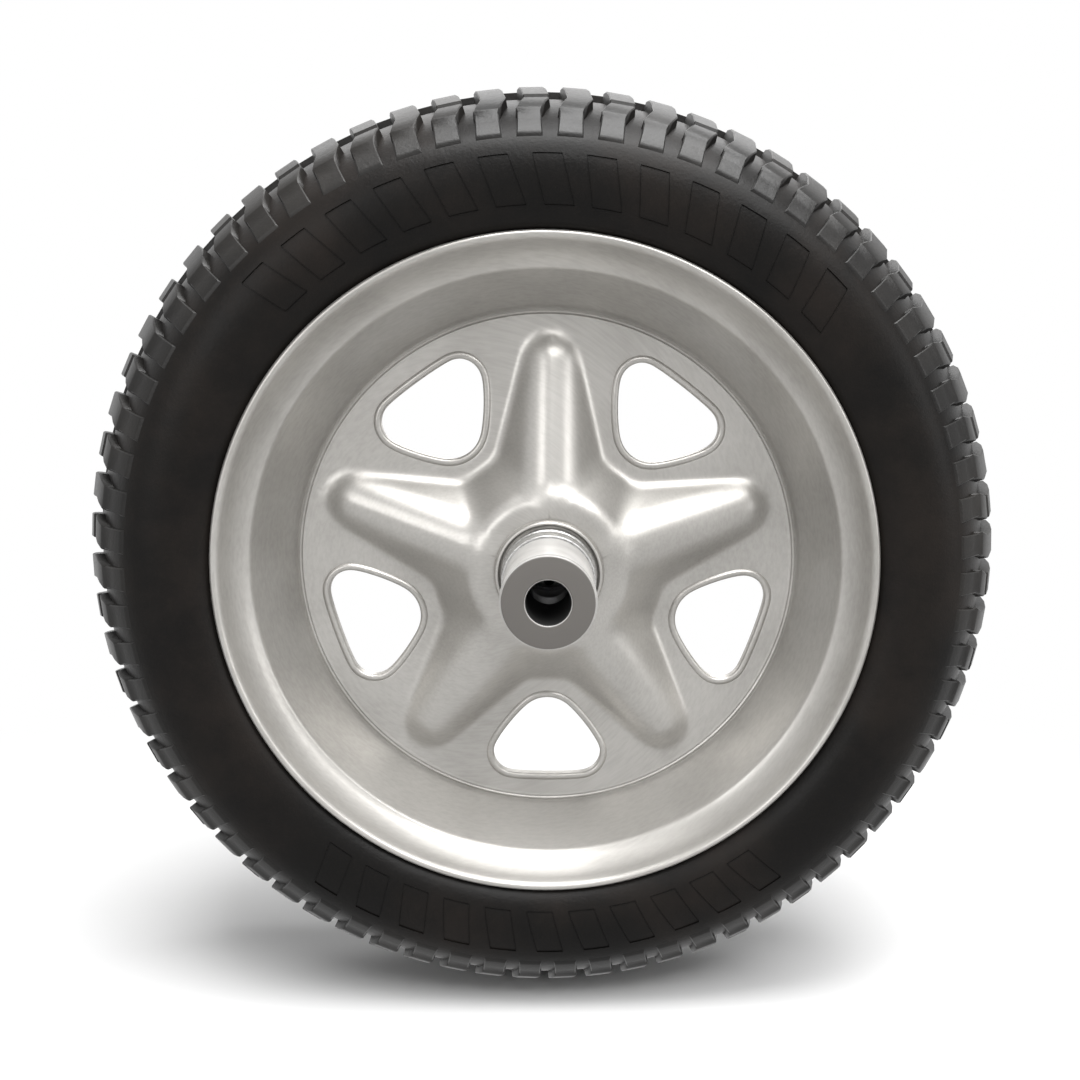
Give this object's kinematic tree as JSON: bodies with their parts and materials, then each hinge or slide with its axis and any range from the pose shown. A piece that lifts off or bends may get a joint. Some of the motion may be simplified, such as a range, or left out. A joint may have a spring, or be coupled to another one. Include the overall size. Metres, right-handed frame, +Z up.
{
  "type": "wheelbarrow wheel",
  "caption": "Flat-free wheelbarrow wheel with a chevron-blocked foam tyre, a pressed silver rim with a hollow star and windows, and a long hub on ball bearings for a round axle.",
  "frame": {"origin": "the wheel's centre, on the axle's line and halfway between the ends of the hub", "axes": "+Y along the axle, towards the rear end of the hub; +Z up; +X to the right seen from the front, which faces -Y"},
  "size_m": [0.3602, 0.1524, 0.3602],
  "materials": {
    "tyre": "satin moulded foam",
    "silver_paint": "satin silver paint",
    "bearing_steel": "ground",
    "ball_steel": "polished",
    "spacer_plastic": "matte moulded"
  },
  "bodies": {
    "axle_fittings": {"inner_race_front": "bearing_steel", "spacer_front": "spacer_plastic", "inner_race_rear": "bearing_steel", "spacer_rear": "spacer_plastic"},
    "wheel": {"tyre": "tyre", "rim_half_front": "silver_paint", "rim_half_rear": "silver_paint", "hub_tube": "silver_paint", "outer_race_front": "bearing_steel", "outer_race_rear": "bearing_steel"},
    "ball_rows": {"ball_row_front": "ball_steel", "ball_row_rear": "ball_steel"}
  },
  "joints": [
    {"name": "wheel_spin", "type": "hinge", "parent": "axle_fittings", "child": "wheel", "pos_m": [0, 0, 0], "axis": [0, 1, 0], "continuous": true},
    {"name": "ball_roll", "type": "hinge", "parent": "axle_fittings", "child": "ball_rows", "pos_m": [0, 0, 0], "axis": [0, 1, 0], "continuous": true}
  ],
  "couplings": [
    {"joint": "ball_roll", "follows": "wheel_spin", "ratio": 0.6042}
  ]
}
